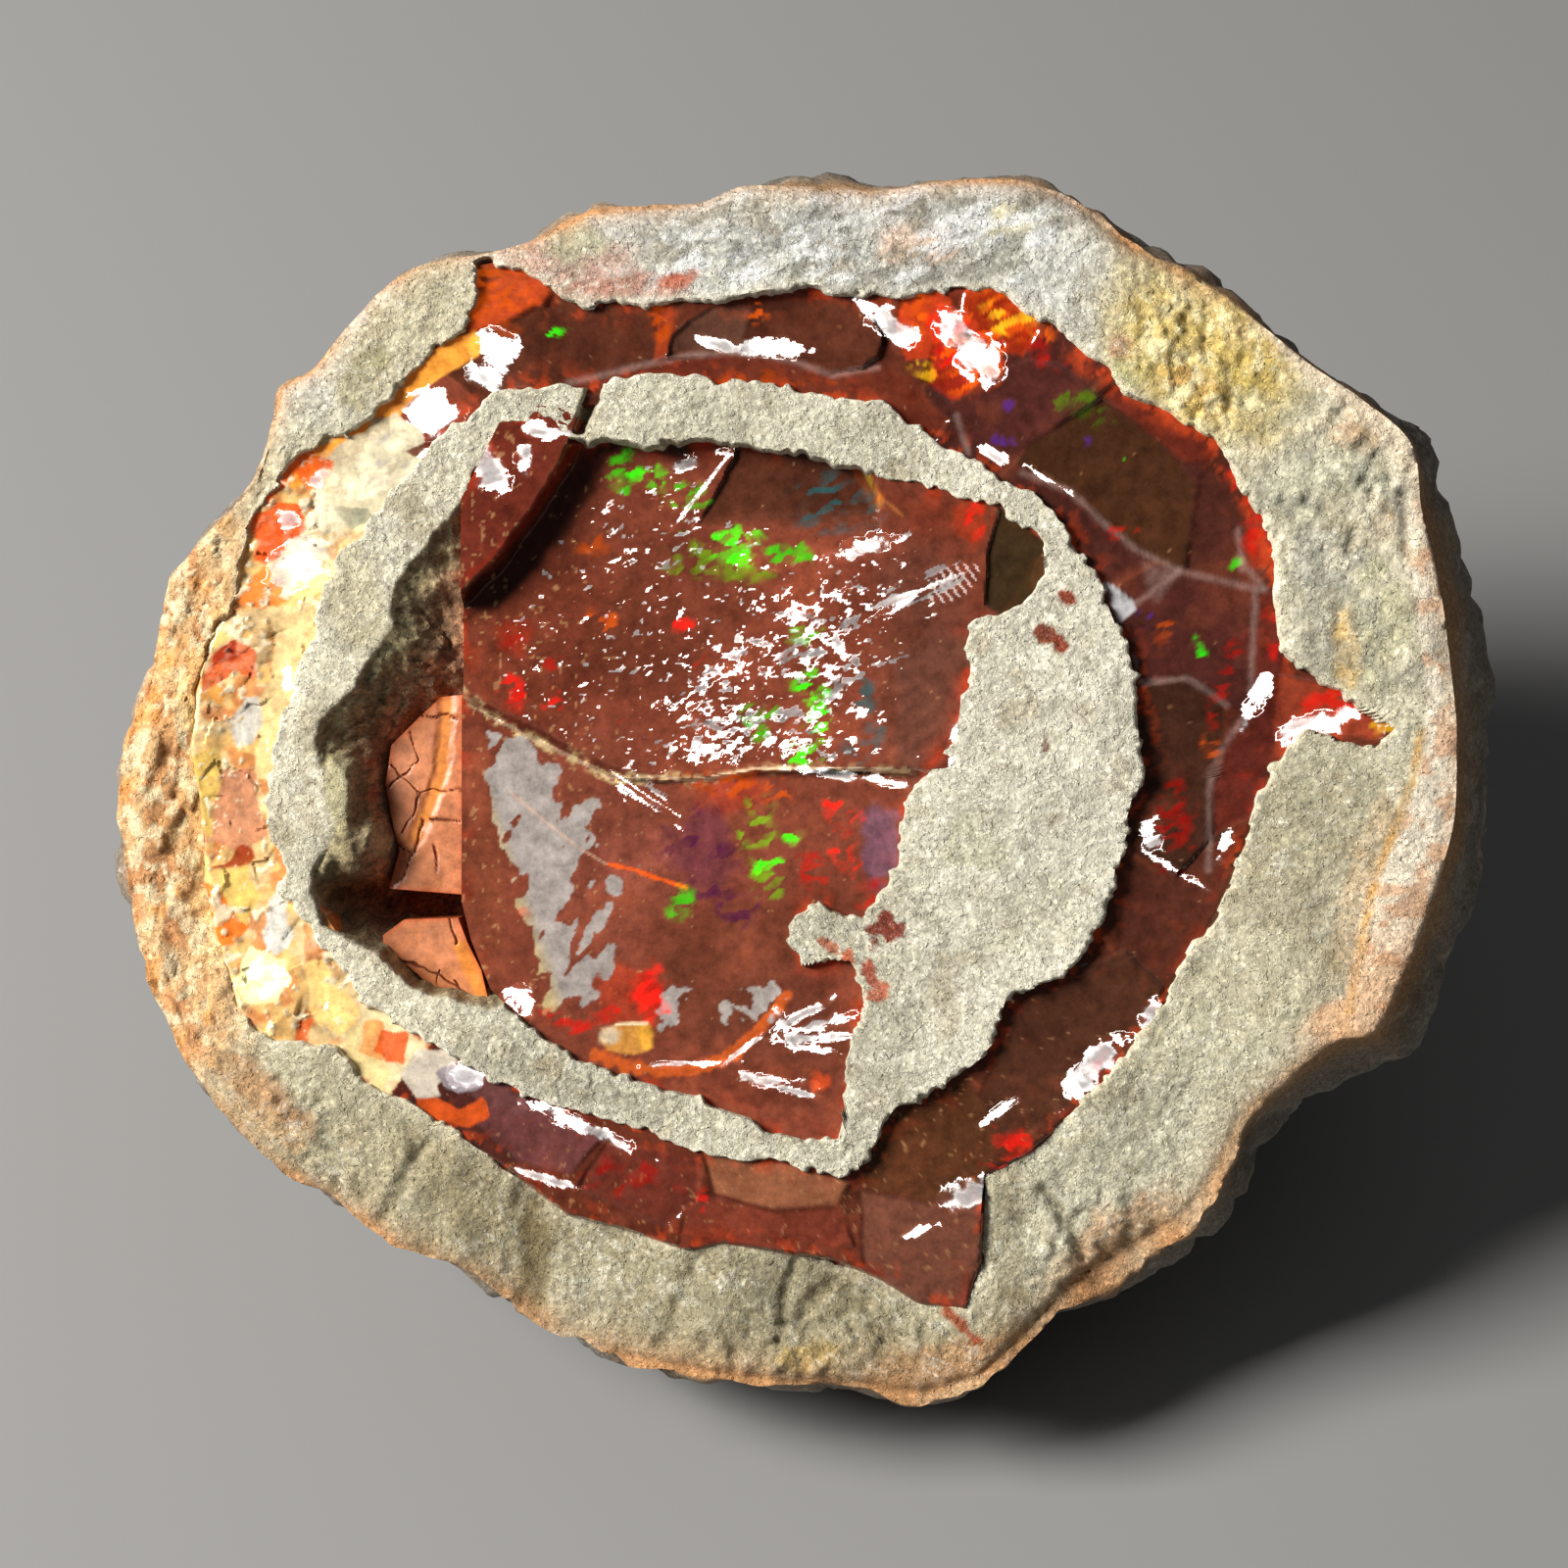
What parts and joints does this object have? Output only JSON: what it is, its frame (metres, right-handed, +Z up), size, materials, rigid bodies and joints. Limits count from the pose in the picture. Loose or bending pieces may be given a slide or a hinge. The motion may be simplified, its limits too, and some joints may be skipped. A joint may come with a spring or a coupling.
{
  "type": "rough opal nodule",
  "caption": "Half of a broken rough opal nodule: a knobbly rock shell, a ring of dark glossy opal, a thinner ring of rock and an opal core beside a pit with cracked opal.",
  "frame": {"origin": "the middle of the stone's box, on the surface that it lies on", "axes": "+X along the stone's greatest width, +Z up, and the broken face looks towards -Y and up, with its normal 48 degrees above the horizon"},
  "size_m": [0.0729, 0.0571, 0.0505],
  "materials": {
    "outer_rock": "granular pale olive-grey volcanic rock, broken on the face, with tan, peach and orange weathered skin",
    "inner_rock": "granular pale grey volcanic rock, freshly broken",
    "opal": "glassy chocolate-brown opal with shell-like fracture, orange-red thin edges and play of colour",
    "cracked_opal": "dull orange-brown opal with fine drying cracks"
  },
  "bodies": {
    "root": {"host_rock": "outer_rock", "opal_ring": "opal", "inner_rock": "inner_rock", "opal_core": "opal", "cracked_opal_upper": "cracked_opal", "cracked_opal_lower": "cracked_opal"}
  },
  "joints": []
}
